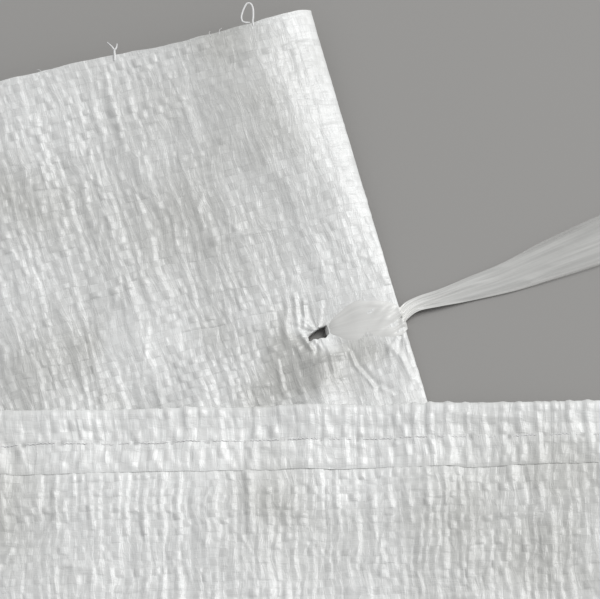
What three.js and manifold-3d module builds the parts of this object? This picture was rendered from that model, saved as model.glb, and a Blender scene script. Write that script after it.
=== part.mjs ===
// An empty woven sandbag lying on a level floor, folded over once so that its bottom hem lies on top of its
// mouth end. Millimetres, +Z up. X runs along the hem to the side where the tie leaves, Y from the fold
// towards the mouth. The origin is on the floor, under the middle of the bag.

import * as THREE from 'three';
import { mergeVertices } from 'three/addons/utils/BufferGeometryUtils.js';
import Module from 'manifold-3d';

const wasm = await Module();
wasm.setup();

// The bag as it is made, pressed flat
const bagWidth = 355;
const bagLength = 660;
const hemDepth = 20;
const wall = 0.4;
const panelGap = 0.3;
const layersGap = 0.3;

// How it is folded over: the fold is not square to the bag, so the two ends lie at an angle
const foldSkew = THREE.MathUtils.degToRad(6.9);
const foldDirection = THREE.MathUtils.degToRad(8.2);
const mouthToFold = 371.5;
const foldRadius = 4;
const foldDroop = THREE.MathUtils.degToRad(6);
const foldSettleRadius = 150;
const overlapGap = 1.2;

// The mouth end curls up off the floor, beyond this distance from the fold
const curlStart = 200;
const curlRadius = 3000;

// How finely the fabric follows its shape
const fabricColumns = 6;
const edgeSegments = 3;
const flatDistance = 100;
const curlStep = 28;
const curlSteps = 5;
const bendSteps = 14;
const settleSteps = 3;
const turnSteps = 6;
const upperDistances = [140, curlStart, curlStart + curlStep];

// Sewing thread across the hem
const threadRadius = 0.3;
const threadSegments = 3;
const threadLegRadius = 0.285;
const threadLegSides = 6;
const needleHoleSides = 4;
const threadClearance = 0.3;
const threadFromEdge = 11;
const stitchPitch = 10.64;
const firstStitch = 167.4;
const stitchCount = 33;
const stitchCrown = 0.25;
const threadEnd = 176;

// Tie hole and the film tie in it
const holeFromMouth = 100.3;
const holeFromSide = 24.7;
const holeOutline = [[-4.2, -2.6], [2.4, -2.6], [4.4, -0.4], [4.0, 2.8], [0.2, 2.8], [-4.2, 0]];
const punchFrom = -5;
const punchDepth = 20;
const filmThickness = 0.7;
const loopWidth = 3.8;
const tailWidth = 12;
const filmSegments = 5;
const loopSteps = 36;
const tailSteps = 34;
const knotSize = [5.4, 4.6, 3.6];
const knotSegments = [12, 8];
const knotPlace = [149.3, 118.8, 2.1];

// The film from the hitch over the side fold, down through the hole and back under the bag
const loopRoute = [
  [148.9, 118.8, 2.9],
  [144.8, 118.1, 3.3],
  [137.3, 116.7, 3.4],
  [129.8, 115.2, 3.4],
  [125.9, 114.6, 3.35],
  [123.8, 114.2, 2.7],
  [123.4, 114.1, 2],
  [123.7, 114.2, 1.2],
  [125.6, 114.5, 0.55],
  [129.8, 115.2, 0.45],
  [137.3, 116.7, 0.5],
  [144.8, 118.1, 0.6],
  [148.9, 118.8, 1],
];

// The free tail from the hitch: along the floor, round past the bag's corner and down its side
const tailRoute = [
  [149.3, 118.8, 2],
  [153.3, 121.8, 1.6],
  [158.3, 124.9, 1],
  [164.8, 128.5, 0.5],
  [175.9, 133.6, 0.45],
  [189.3, 139.8, 0.45],
  [203.3, 146.1, 0.45],
  [210.8, 149.3, 0.45],
  [219.5, 150.9, 0.45],
  [230.4, 148.6, 0.45],
  [239.5, 142, 0.45],
  [244.8, 133.1, 0.45],
  [246.5, 123.4, 0.45],
  [246.5, 110.9, 0.45],
  [245.9, 96.9, 0.45],
  [244.9, 82.9, 0.45],
  [244.2, 68.9, 0.45],
  [243.8, 54.9, 0.45],
];

// Where the middle of the mouth edge lies, from the origin
const mouthX = -51.96;
const mouthY = 171.12;

const bagThickness = 2 * wall + panelGap;
const hemRadius = (bagThickness + layersGap) / 2;
const lowerMiddle = bagThickness / 2;
const upperMiddle = lowerMiddle + bagThickness + overlapGap;
const mouthDistance = mouthToFold * Math.cos(foldSkew);

// The fold in side view: a round bend, a slope down and a shallow bend that brings the upper half level
const bendLength = foldRadius * (Math.PI + foldDroop);
const slopeLength = (foldRadius * (1 + Math.cos(foldDroop)) - foldSettleRadius * (1 - Math.cos(foldDroop))
  - (upperMiddle - lowerMiddle)) / Math.sin(foldDroop);
const settleLength = foldSettleRadius * foldDroop;
const slopeStart = new THREE.Vector2(
  foldRadius * Math.sin(foldDroop),
  lowerMiddle + foldRadius * (1 + Math.cos(foldDroop)),
);
const slopeWay = new THREE.Vector2(Math.cos(foldDroop), -Math.sin(foldDroop));
const settleStart = slopeStart.clone().addScaledVector(slopeWay, slopeLength);
const settleCentre = new THREE.Vector2(
  settleStart.x + foldSettleRadius * Math.sin(foldDroop),
  settleStart.y + foldSettleRadius * Math.cos(foldDroop),
);

// From the distance past the fold line and the height over the bag's middle plane to (distance, height)
function aroundFold(past, height) {
  if (past <= 0) {
    return new THREE.Vector2(-past, lowerMiddle + height);
  }
  if (past < bendLength) {
    const turn = past / foldRadius;
    const radius = foldRadius - height;
    return new THREE.Vector2(-radius * Math.sin(turn), lowerMiddle + foldRadius - radius * Math.cos(turn));
  }
  if (past < bendLength + slopeLength) {
    const point = slopeStart.clone().addScaledVector(slopeWay, past - bendLength);
    return point.add(new THREE.Vector2(-Math.sin(foldDroop), -Math.cos(foldDroop)).multiplyScalar(height));
  }
  const settled = past - bendLength - slopeLength;
  if (settled < settleLength) {
    const turn = foldDroop - settled / foldSettleRadius;
    const radius = foldSettleRadius + height;
    return new THREE.Vector2(
      settleCentre.x - radius * Math.sin(turn),
      settleCentre.y - radius * Math.cos(turn),
    );
  }
  return new THREE.Vector2(settleCentre.x + settled - settleLength, upperMiddle - height);
}

// From the length of fabric from the mouth to (length along the flat bag, height), round the hem's turn
function aroundHem(length, height) {
  const turnStart = bagLength - hemRadius;
  const turn = (length - turnStart) / hemRadius;
  if (turn <= 0) {
    return new THREE.Vector2(length, height);
  }
  if (turn < Math.PI) {
    const radius = hemRadius + height;
    return new THREE.Vector2(turnStart + radius * Math.sin(turn), radius * Math.cos(turn) - hemRadius);
  }
  return new THREE.Vector2(turnStart - (turn - Math.PI) * hemRadius, -2 * hemRadius - height);
}

function curl(distance) {
  const beyond = Math.max(0, distance - curlStart);
  return beyond * beyond / (2 * curlRadius);
}

// From a place on the flat bag (across, along from the mouth, height over its middle plane) to where it lies
function placeFlat(across, along, height) {
  const past = along * Math.cos(foldSkew) - across * Math.sin(foldSkew) - mouthDistance;
  const alongFold = across * Math.cos(foldSkew) + along * Math.sin(foldSkew);
  const side = aroundFold(past, height);
  const fromMouth = side.x - mouthDistance;
  return new THREE.Vector3(
    mouthX + alongFold * Math.cos(foldDirection) - fromMouth * Math.sin(foldDirection),
    mouthY + alongFold * Math.sin(foldDirection) + fromMouth * Math.cos(foldDirection),
    side.y + curl(side.x),
  );
}

// Turns any closed geometry into a solid for cutting and joining
function solidOf(geometry) {
  const bare = geometry.clone();
  bare.deleteAttribute('normal');
  bare.deleteAttribute('uv');
  const merged = mergeVertices(bare, 1e-4);
  return new wasm.Manifold(new wasm.Mesh({
    numProp: 3,
    vertProperties: new Float32Array(merged.attributes.position.array),
    triVerts: new Uint32Array(merged.index.array),
  }));
}

function geometryOf(solid) {
  const mesh = solid.getMesh();
  const geometry = new THREE.BufferGeometry();
  geometry.setAttribute('position', new THREE.BufferAttribute(mesh.vertProperties, 3));
  geometry.setIndex(new THREE.BufferAttribute(mesh.triVerts, 1));
  geometry.computeVertexNormals();
  return geometry;
}

// A flattened loop of points: two long sides with round ends, counter-clockwise
function flatLoop(Kind, width, height, columns) {
  const loop = new Kind();
  const radius = height / 2;
  const reach = width / 2 - radius;
  loop.moveTo(-reach, -radius);
  for (let i = 1; i <= columns; i += 1) {
    loop.lineTo(-reach + 2 * reach * i / columns, -radius);
  }
  loop.absarc(reach, 0, radius, -Math.PI / 2, Math.PI / 2, false);
  for (let i = 1; i <= columns; i += 1) {
    loop.lineTo(reach - 2 * reach * i / columns, radius);
  }
  loop.absarc(-reach, 0, radius, Math.PI / 2, 3 * Math.PI / 2, false);
  return loop;
}

// Rows of the fabric from the mouth to the raw edge of the hem. Those near the fold run along the fold line,
// and give a distance past it; the others are square to the bag, and give a length from the mouth.
function fabricRows() {
  const rows = [{ length: 0 }];
  for (let i = curlSteps; i >= 0; i -= 1) {
    rows.push({ past: -curlStart - i * curlStep });
  }
  rows.push({ past: -flatDistance });
  for (let i = 0; i <= bendSteps; i += 1) {
    rows.push({ past: bendLength * i / bendSteps });
  }
  rows.push({ past: bendLength + slopeLength });
  for (let i = 1; i <= settleSteps; i += 1) {
    rows.push({ past: bendLength + slopeLength + settleLength * i / settleSteps });
  }
  const upperStart = bendLength + slopeLength + settleLength - settleCentre.x;
  for (const distance of upperDistances) {
    rows.push({ past: upperStart + distance });
  }
  const turnStart = bagLength - hemRadius;
  rows.push({ length: bagLength - hemDepth - layersGap });
  for (let i = 0; i <= turnSteps; i += 1) {
    rows.push({ length: turnStart + Math.PI * hemRadius * i / turnSteps });
  }
  rows.push({ length: turnStart + Math.PI * hemRadius + hemDepth - hemRadius });
  return rows;
}

function rowLength(row, across) {
  if (row.length !== undefined) {
    return row.length;
  }
  return (row.past + mouthDistance + across * Math.sin(foldSkew)) / Math.cos(foldSkew);
}

// The pressed tube, extruded one unit for each row and then laid round its hem and its fold
function fabricTube() {
  const section = flatLoop(THREE.Shape, bagWidth, bagThickness, fabricColumns);
  section.holes.push(flatLoop(THREE.Path, bagWidth - 2 * wall, panelGap, fabricColumns));
  const rows = fabricRows();
  const geometry = new THREE.ExtrudeGeometry(section, {
    depth: rows.length - 1,
    steps: rows.length - 1,
    curveSegments: edgeSegments,
    bevelEnabled: false,
  });
  const position = geometry.attributes.position;
  for (let i = 0; i < position.count; i += 1) {
    const across = position.getX(i);
    const row = rows[Math.round(position.getZ(i))];
    const hem = aroundHem(rowLength(row, across), position.getY(i));
    const place = placeFlat(across, hem.x, hem.y);
    position.setXYZ(i, place.x, place.y, place.z);
  }
  return geometry;
}

function stitchPlaces() {
  return Array.from({ length: stitchCount }, (_, i) => firstStitch - i * stitchPitch);
}

const hemTop = -2 * hemRadius - bagThickness / 2;
const hemBottom = bagThickness / 2;
const stitchAlong = bagLength - threadFromEdge;

// An upright prism through the hem at one needle place, between two heights over the bag's middle plane
function needlePrism(across, radius, sides, from, to) {
  const bottom = placeFlat(across, stitchAlong, from);
  const top = placeFlat(across, stitchAlong, to);
  const prism = new THREE.CylinderGeometry(radius, radius, bottom.distanceTo(top), sides);
  prism.rotateX(Math.PI / 2);
  prism.translate(bottom.x, bottom.y, (bottom.z + top.z) / 2);
  return prism;
}

function holePunch() {
  const outline = new THREE.Shape(holeOutline.map(([x, y]) => new THREE.Vector2(x, y)));
  const punch = new THREE.ExtrudeGeometry(outline, { depth: punchDepth, bevelEnabled: false });
  const place = placeFlat(bagWidth / 2 - holeFromSide, holeFromMouth, 0);
  punch.translate(place.x, place.y, punchFrom);
  return punch;
}

function wovenBag() {
  let bag = solidOf(fabricTube()).subtract(solidOf(holePunch()));
  const holeRadius = (threadRadius + threadClearance) / Math.cos(Math.PI / needleHoleSides);
  const from = hemBottom + 2 * threadClearance;
  const to = hemTop - 2 * threadClearance;
  for (const across of stitchPlaces()) {
    bag = bag.subtract(solidOf(needlePrism(across, holeRadius, needleHoleSides, from, to)));
  }
  return geometryOf(bag);
}

// One run of thread on the given side of the hem: it rises a little between the needle holes
function threadRun(height, rise) {
  const places = stitchPlaces();
  const points = [placeFlat(threadEnd, stitchAlong, height)];
  places.forEach((across, i) => {
    points.push(placeFlat(across, stitchAlong, height));
    if (i + 1 < places.length) {
      points.push(placeFlat(across - stitchPitch / 2, stitchAlong, height + rise));
    }
  });
  points.push(placeFlat(-threadEnd, stitchAlong, height));
  const path = new THREE.CatmullRomCurve3(points);
  const section = new THREE.Shape().absarc(0, 0, threadRadius, 0, 2 * Math.PI, false);
  return new THREE.ExtrudeGeometry(section, {
    steps: points.length - 1,
    curveSegments: threadSegments,
    extrudePath: path,
  });
}

// The thread over the hem and under it, joined through every needle hole
function hemThread() {
  const over = hemTop - threadClearance - threadRadius;
  const under = hemBottom + threadClearance + threadRadius;
  let thread = solidOf(threadRun(over, -stitchCrown)).add(solidOf(threadRun(under, 0)));
  for (const across of stitchPlaces()) {
    thread = thread.add(solidOf(needlePrism(across, threadLegRadius, threadLegSides, under, over)));
  }
  return geometryOf(thread);
}

// A flat strip of film along a path, its width level
function filmAlong(points, width, steps) {
  const path = new THREE.CatmullRomCurve3(points.map(([x, y, z]) => new THREE.Vector3(x, y, z)));
  const section = new THREE.Shape().absellipse(0, 0, filmThickness / 2, width / 2, 0, 2 * Math.PI, false);
  return new THREE.ExtrudeGeometry(section, { steps, curveSegments: filmSegments, extrudePath: path });
}

// One strip: the loop through the hole and round the side fold, the hitch that draws it tight, and the tail
function tieFilm() {
  const hitch = new THREE.SphereGeometry(0.5, ...knotSegments);
  hitch.rotateX(Math.PI / 2);
  hitch.scale(...knotSize);
  hitch.translate(...knotPlace);
  const loop = solidOf(filmAlong(loopRoute, loopWidth, loopSteps));
  const tail = solidOf(filmAlong(tailRoute, tailWidth, tailSteps));
  return geometryOf(solidOf(hitch).add(loop).add(tail));
}

const parts = [
  { name: 'woven_bag', geometry: wovenBag(), color: 0xd3d4d3, roughness: 0.42 },
  { name: 'hem_thread', geometry: hemThread(), color: 0xe4e4e0, roughness: 0.6 },
  { name: 'tie_film', geometry: tieFilm(), color: 0xcbcbc8, roughness: 0.35 },
];

const sandbag = new THREE.Group();
for (const { name, geometry, color, roughness } of parts) {
  const material = new THREE.MeshStandardMaterial({ color, roughness, metalness: 0 });
  const mesh = new THREE.Mesh(geometry, material);
  mesh.name = name;
  sandbag.add(mesh);
}

export default sandbag;
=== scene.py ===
# An empty woven plastic sandbag on a level floor, folded over once, with its hem thread and its film tie.
# Everything is in metres, +Z up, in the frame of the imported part.
import math

import bmesh
import bpy
import numpy as np
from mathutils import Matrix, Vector


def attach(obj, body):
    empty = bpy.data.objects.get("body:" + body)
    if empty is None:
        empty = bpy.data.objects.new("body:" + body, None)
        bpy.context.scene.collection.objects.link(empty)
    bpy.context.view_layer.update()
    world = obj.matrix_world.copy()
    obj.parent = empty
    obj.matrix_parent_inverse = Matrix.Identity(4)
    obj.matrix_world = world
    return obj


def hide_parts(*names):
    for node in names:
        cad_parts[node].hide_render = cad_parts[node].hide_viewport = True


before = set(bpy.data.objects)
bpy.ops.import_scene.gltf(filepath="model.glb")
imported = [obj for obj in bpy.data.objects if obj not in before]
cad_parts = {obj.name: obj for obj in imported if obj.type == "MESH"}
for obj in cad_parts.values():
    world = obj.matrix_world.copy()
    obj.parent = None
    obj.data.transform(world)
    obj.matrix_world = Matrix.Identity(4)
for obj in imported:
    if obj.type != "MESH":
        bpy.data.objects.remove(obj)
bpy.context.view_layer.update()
print("frame loaded:", sorted(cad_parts))

mm = 0.001

# The camera looks along +Y and down, at the photograph's angle
view = {
    "target": (0.1165, 0.1262, 0.0),
    "elevation": 64,
    "distance": 2.5,
    "width": 0.1725,  # of floor across the picture
    "sensor": 36,
}


def addObject(name, data):
    item = bpy.data.objects.new(name, data)
    bpy.context.scene.collection.objects.link(item)
    return item


# Puts a camera or lamp that far from the picture's middle, turned towards it
def aim(item, way, distance):
    item.location = Vector(view["target"]) + way * distance
    item.rotation_mode = "QUATERNION"
    item.rotation_quaternion = way.to_track_quat("Z", "Y")


def makeCamera():
    data = bpy.data.cameras.new("camera")
    data.sensor_width = view["sensor"]
    data.lens = view["sensor"] * view["distance"] / view["width"]
    camera = addObject("camera", data)
    tilt = math.radians(view["elevation"])
    aim(camera, Vector((0, -math.cos(tilt), math.sin(tilt))), view["distance"])
    bpy.context.scene.camera = camera


makeCamera()


# The bag pressed flat, and how it lies: these are the part's own dimensions
bag = {
    "width": 0.355,
    "length": 0.66,
    "hemDepth": 0.02,
    "thickness": 0.0011,
    "layersGap": 0.0003,
    "overlapGap": 0.0012,
    "foldSkew": math.radians(6.9),
    "foldDirection": math.radians(8.2),
    "mouthToFold": 0.3715,
    "foldRadius": 0.004,
    "foldDroop": math.radians(6),
    "settleRadius": 0.15,
    "curlStart": 0.2,
    "curlRadius": 3,
    "mouth": (-0.05196, 0.17112),
    "skin": 0.0003,  # from the middle plane to the outside of the cloth
}
hemRadius = (bag["thickness"] + bag["layersGap"]) / 2
lowerMiddle = bag["thickness"] / 2
upperMiddle = lowerMiddle + bag["thickness"] + bag["overlapGap"]
skew, direction, droop = bag["foldSkew"], bag["foldDirection"], bag["foldDroop"]
foldRadius, settleRadius = bag["foldRadius"], bag["settleRadius"]
mouthDistance = bag["mouthToFold"] * math.cos(skew)
bendLength = foldRadius * (math.pi + droop)
slopeDrop = foldRadius * (1 + math.cos(droop)) - settleRadius * (1 - math.cos(droop))
slopeLength = (slopeDrop - (upperMiddle - lowerMiddle)) / math.sin(droop)
settleLength = settleRadius * droop
downSlope = np.array([math.cos(droop), -math.sin(droop)])
offSlope = np.array([math.sin(droop), math.cos(droop)])
slopeStart = np.array([foldRadius * math.sin(droop), lowerMiddle + foldRadius * (1 + math.cos(droop))])
settleCentre = slopeStart + downSlope * slopeLength + offSlope * settleRadius


# Round the fold, down the slope behind it and level again: distance back and height, for the middle plane
def aroundFold(past, height):
    turn = past / foldRadius
    inner = foldRadius - height
    run = past - bendLength
    settled = run - slopeLength
    late = droop - settled / settleRadius
    outer = settleRadius + height
    zones = [past <= 0, past < bendLength, settled < 0, settled < settleLength]
    x = np.select(zones, [
        -past,
        -inner * np.sin(turn),
        slopeStart[0] + downSlope[0] * run - offSlope[0] * height,
        settleCentre[0] - outer * np.sin(late),
    ], settleCentre[0] + settled - settleLength)
    z = np.select(zones, [
        lowerMiddle + height,
        lowerMiddle + foldRadius - inner * np.cos(turn),
        slopeStart[1] + downSlope[1] * run - offSlope[1] * height,
        settleCentre[1] - outer * np.cos(late),
    ], upperMiddle - height)
    return x, z


def aroundHem(length, height):
    turnStart = bag["length"] - hemRadius
    turn = (length - turnStart) / hemRadius
    radius = hemRadius + height
    zones = [turn <= 0, turn < math.pi]
    back = turnStart - (turn - math.pi) * hemRadius
    along = np.select(zones, [length, turnStart + radius * np.sin(turn)], back)
    out = np.select(zones, [height, radius * np.cos(turn) - hemRadius], -2 * hemRadius - height)
    return along, out


# From a place on the flat bag to where it lies: across, along from the mouth, height over the middle plane
def placeFlat(across, along, height):
    past = along * math.cos(skew) - across * math.sin(skew) - mouthDistance
    alongFold = across * math.cos(skew) + along * math.sin(skew)
    side, z = aroundFold(past, height)
    fromMouth = side - mouthDistance
    x = bag["mouth"][0] + alongFold * math.cos(direction) - fromMouth * math.sin(direction)
    y = bag["mouth"][1] + alongFold * math.sin(direction) + fromMouth * math.cos(direction)
    lifted = z + np.maximum(0, side - bag["curlStart"]) ** 2 / (2 * bag["curlRadius"])
    return np.stack([x, y, lifted], axis=-1)


def smoothStep(value, low, high):
    share = np.clip((value - low) / (high - low), 0, 1)
    return share * share * (3 - 2 * share)


# 1 at a distance of 0, and near 0 beyond twice the width
def bell(distance, width):
    return np.exp(-(distance / width) ** 2)


# Materials: sockets that can be used in sums
class Wire:
    def __init__(self, tree, socket):
        self.tree, self.socket = tree, socket

    def maths(self, operation, *others):
        inputs = dict(enumerate((self, *others)))
        return addNode(self.tree, "ShaderNodeMath", {"operation": operation}, inputs)

    def __add__(self, other):
        return self.maths("ADD", other)

    def __sub__(self, other):
        return self.maths("SUBTRACT", other)

    def __rsub__(self, other):
        return addNode(self.tree, "ShaderNodeMath", {"operation": "SUBTRACT"}, {0: other, 1: self})

    def __mul__(self, other):
        return self.maths("MULTIPLY", other)

    def __pow__(self, other):
        return self.maths("POWER", other)

    def __abs__(self):
        return self.maths("ABSOLUTE")

    __radd__ = __add__
    __rmul__ = __mul__

    def atLeast(self, low):
        return self.maths("MAXIMUM", low)

    def atMost(self, high):
        return self.maths("MINIMUM", high)


def addNode(tree, kind, settings, inputs, output=0):
    node = tree.nodes.new(kind)
    for name, value in settings.items():
        setattr(node, name, value)
    for name, value in inputs.items():
        if isinstance(value, Wire):
            tree.links.new(value.socket, node.inputs[name])
        else:
            node.inputs[name].default_value = value
    return Wire(tree, node.outputs[output])


def combine(tree, *parts):
    return addNode(tree, "ShaderNodeCombineXYZ", {}, dict(enumerate(parts)))


def noiseAt(tree, place, scale, detail, distortion=0):
    return addNode(tree, "ShaderNodeTexNoise", {}, {
        "Vector": place, "Scale": scale, "Detail": detail, "Distortion": distortion})


def bumpFrom(tree, height, distance):
    return addNode(tree, "ShaderNodeBump", {}, {"Height": height, "Distance": distance, "Strength": 1})


def shaded(tree, tone, shade):
    grey = combine(tree, shade, shade, shade)
    return addNode(tree, "ShaderNodeVectorMath", {"operation": "MULTIPLY"}, {0: tone, 1: grey})


def mixColour(tree, factor, first, second):
    return addNode(tree, "ShaderNodeMix", {"data_type": "RGBA", "clamp_factor": True}, {
        0: factor, 6: first, 7: second}, 2)


def objectPlace(tree):
    return addNode(tree, "ShaderNodeTexCoord", {}, {}, "Object")


# Both numbers of a mesh's map
def mapPlace(tree, name):
    place = addNode(tree, "ShaderNodeUVMap", {"uv_map": name}, {})
    split = addNode(tree, "ShaderNodeSeparateXYZ", {}, {0: place})
    return split, Wire(tree, split.socket.node.outputs[1])


def newMaterial(name):
    material = bpy.data.materials.new(name)
    material.use_nodes = True
    material.node_tree.nodes.clear()
    return material, material.node_tree


def finishMaterial(material, settings):
    tree = material.node_tree
    shader = addNode(tree, "ShaderNodeBsdfPrincipled", {}, settings)
    output = tree.nodes.new("ShaderNodeOutputMaterial")
    tree.links.new(shader.socket, output.inputs["Surface"])
    return material


cloth = {
    "warpTone": (0.83, 0.84, 0.825, 1),
    "weftTone": (0.775, 0.78, 0.765, 1),
    # the grey of random patches, and of the shade painted at the spots below
    "greyAndShadeTone": (0.60, 0.602, 0.575, 1),
    "roughness": 0.40,
    "roughnessSpread": 0.20,
    "grainHeight": 0.00006,
    "refraction": 1.5,
    # places with painted shade, and with a minus sign places with painted light: x, y, z and reach in
    # millimetres, then how strongly
    "lightAndShadeSpots": [
        (92, 206, 8, 15, 0.8), (103, 184, 7, 28, 0.9), (102, 151, 5, 30, 0.9), (82, 153, 5, 20, 0.4),
        (113, 109, 4, 16, 1.8), (104, 94, 3, 10, 0.9), (117, 102, 3, 13, 1.8), (127, 101, 3, 12, 0.9),
        (58, 110, 4, 12, 0.6), (93, 112, 4, 12, 0.7), (32, 157, 6, 28, 1.0), (62, 94, 3, 7, 0.5),
        (36, 104, 4, 24, 0.8), (179, 54, 3, 43, 1.5), (206, 58, 3, 28, 0.6), (30, 62, 3, 28, 1.4),
        (115, 55, 3, 30, 0.9), (112, 167, 7, 18, 0.7), (132.3, 109.5, 2, 7, 1.1), (137.5, 109.5, 2, 7, 1.1),
        (117.4, 115.6, 3, 6, -1.5), (122.3, 110.2, 3, 6, -1.6), (73, 108, 4, 17, -1.5), (92, 80, 3, 20, -0.4),
        (42, 186, 8, 20, -0.3),
    ],
    "needleHole": 0.0009,
    # how much lighter each of these makes the cloth, or how much darker; several are painted light and shade:
    # a highlight at the right side fold, on ridges and on creases, shade at tape edges, in needle holes and
    # where the greyer spots are strongest, and light at the lighter spots
    "paleness": 0.895,
    "lighter": {
        "layered": 0.085, "lower": -0.03, "foldHighlight": 0.07, "tape": 0.08, "cell": 0.07, "blocks": 0.22,
        "bands": 0.16, "lines": 0.06, "edgeShade": -0.05, "folds": 0.05, "crest": 0.05, "paintedLight": 0.10,
        "deepShade": -0.08, "needleShade": -0.35,
    },
}


# 1 at the middle of a needle hole, 0 away from it: where shade is painted into the needle holes
def needleHoles(u, v):
    first, size = flatToWeave(details["firstStitch"], 0)[0], cloth["needleHole"]
    step = details["stitchPitch"] * mm
    across = ((u - first) * (tapePitch / step) + 0.5).maths("FRACT") - 0.5
    over = (across * (step / size)) ** 2 + ((v - stitchLine) * (hemPitch / size)) ** 2
    return (1 - over).atLeast(0)


def clothMaterial():
    material, tree = newMaterial("woven_tape")
    u, v = mapPlace(tree, "weave")
    place = objectPlace(tree)
    column = u.maths("FLOOR")
    row = v.maths("FLOOR")
    fromLeft = u - column
    weftOver = (column + row).maths("MODULO", 2)  # 1 where the weft tape lies on top
    warpOver = 1 - weftOver

    def whiteNoise(dimensions, inputs):
        return addNode(tree, "ShaderNodeTexWhiteNoise", {"noise_dimensions": dimensions}, inputs, "Value")

    def noise(kx, ky, kz, detail, distortion=0):
        return noiseAt(tree, combine(tree, kx, ky, kz), 1, detail, distortion)

    cellTone = whiteNoise("2D", {0: combine(tree, column, row)})
    tapeTone = whiteNoise("1D", {"W": column}) * warpOver + whiteNoise("1D", {"W": row}) * weftOver
    # fine lines along the tape on top, and crossings and bands of warp tapes of unlike tone
    warpLines = noise(u * 6, v * 0.8, row * 3.7, 4, 0.4)
    weftLines = noise(u * 0.8, v * 6, column * 3.7, 4, 0.4)
    lines = warpLines * warpOver + weftLines * weftOver
    blocks = noise(column * 0.47, row * 0.31, 3, 2)
    bands = noise(u * 0.42, v * 0.035, 11, 2)
    # long creases along both kinds of tape, painted a little lighter as thin painted highlights, and small
    # crumples
    warpCreases = noise(u * 1.8, v * 0.30, 0, 3, 0.8)
    weftCreases = noise(u * 0.30, v * 1.8, 7, 3, 0.8)
    folds = 0
    for creases, share in ((warpCreases, 1), (weftCreases, 0.8)):
        folds = (1 - abs(creases - 0.5) * 11).atLeast(0) * share + folds
    patches = noiseAt(tree, place, 22, 3)
    crumple = noiseAt(tree, place, 700, 3)
    # painted shade: a thin darker line at the edges of each crossing, where the tapes overlap their
    # neighbours
    edge = (abs(fromLeft - 0.5) * warpOver + abs(v - row - 0.5) * weftOver) * 2
    edgeShade = ((edge - 0.86) * 7.1).atLeast(0)
    # the folded ridge of a warp tape is painted a little whiter, a painted highlight along the ridge
    crest = (1 - abs(fromLeft - 0.55) * 5).atLeast(0) * warpOver

    tone = mixColour(tree, weftOver * 0.6 + cellTone * 0.4, cloth["warpTone"], cloth["weftTone"])
    # the hem's layers are whiter and the mouth half is greyer; beside the right side fold the cloth is
    # painted whiter, a painted highlight where the fold turns towards the light
    layered = ((v - 255) * 0.2).atLeast(0).atMost(1)
    lower = ((100 - v) * 0.05).atLeast(0).atMost(1)
    foldHighlight = (1 - abs(u - weave["panelTapes"]) * 0.13).atLeast(0)
    # the cloth greys in random patches; the spots paint shade into it, or with a minus sign paint light, and
    # where that painted shade is strongest it is darkened further
    greyAndShade, paintedLight = (patches - 0.53 + lower * 0.05) * 2.2, 0
    for x, y, z, reach, strength in cloth["lightAndShadeSpots"]:
        away = addNode(tree, "ShaderNodeVectorMath", {"operation": "DISTANCE"}, {
            0: place, 1: (x * mm, y * mm, z * mm)}, "Value")
        near = (1 - away * (1 / (reach * mm))).atLeast(0) * (patches * 2 * abs(strength))
        if strength > 0:
            greyAndShade = greyAndShade + near
        else:
            paintedLight = near + paintedLight
    tone = mixColour(tree, greyAndShade - paintedLight, tone, cloth["greyAndShadeTone"])
    parts = {
        "layered": layered, "lower": lower, "foldHighlight": foldHighlight, "tape": tapeTone, "cell": cellTone - 0.5,
        "blocks": blocks - 0.5, "bands": bands - 0.5, "lines": lines - 0.5, "edgeShade": edgeShade, "folds": folds,
        "crest": crest, "paintedLight": paintedLight, "deepShade": (greyAndShade - paintedLight - 1).atLeast(0).atMost(1.5),
        "needleShade": needleHoles(u, v),
    }
    shade = cloth["paleness"]
    for name, part in parts.items():
        shade = part * cloth["lighter"][name] + shade
    height = lines * 0.5 + crumple * 0.8 + folds * 0.5 + crest * 0.5
    return finishMaterial(material, {
        "Base Color": shaded(tree, tone, shade),
        "Roughness": cloth["roughness"] + (lines - 0.5) * cloth["roughnessSpread"] + (patches - 0.5) * 0.12,
        "Normal": bumpFrom(tree, height, cloth["grainHeight"]),
        "IOR": cloth["refraction"],
        "Specular IOR Level": 1.0,
    })


# The weave: flat tapes over and under each other. u counts tapes round the tube, from the left side fold
# over the first panel to the right side fold (u = panelTapes) and back; v counts rows from the mouth.
weave = {
    "panelTapes": 142,
    "bodyRows": 260,
    "bodyLength": 0.638,
    "hemRows": 13,
    "warpRise": 0.27 * mm,
    "weftRise": 0.24 * mm,
    "flank": 0.52,  # how wide the slope to the right of a tape's ridge is, in tapes
    "crown": 0.42,  # how much lower a warp tape is at both ends of its crossing
    "shoulder": 0.36,  # how far a warp tape stays raised beyond its crossing, in rows
    "shoulderRise": 0.62,
    "hemStart": (250, 257),  # over these rows the weave goes over to the hem's
    "foldedWeft": 0.12 * mm,
    "tilt": 0.12 * mm,
    "unevenness": 0.02 * mm,
    "pairRise": 0.10 * mm,  # here and there every other warp tape stands higher
    "pairRidge": 0.27,
    "edgeWander": 0.07,  # of a tape's width
    # how much flatter the weave is in these places
    "flatter": {"ends": 0.75, "film": 0.72, "tie": 0.4, "fold": 0.48, "covered": 0.8, "stitches": 0.6},
    "seed": 11,
}
aroundTapes = 2 * weave["panelTapes"]
allRows = weave["bodyRows"] + weave["hemRows"]
bodyPitch = weave["bodyLength"] / weave["bodyRows"]
clothLength = bag["length"] + bag["hemDepth"]
hemPitch = (clothLength - weave["bodyLength"]) / weave["hemRows"]
random = np.random.default_rng(weave["seed"])
tableShape = (aroundTapes, allRows + 2)
tapePitch = bag["width"] / weave["panelTapes"]


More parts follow.
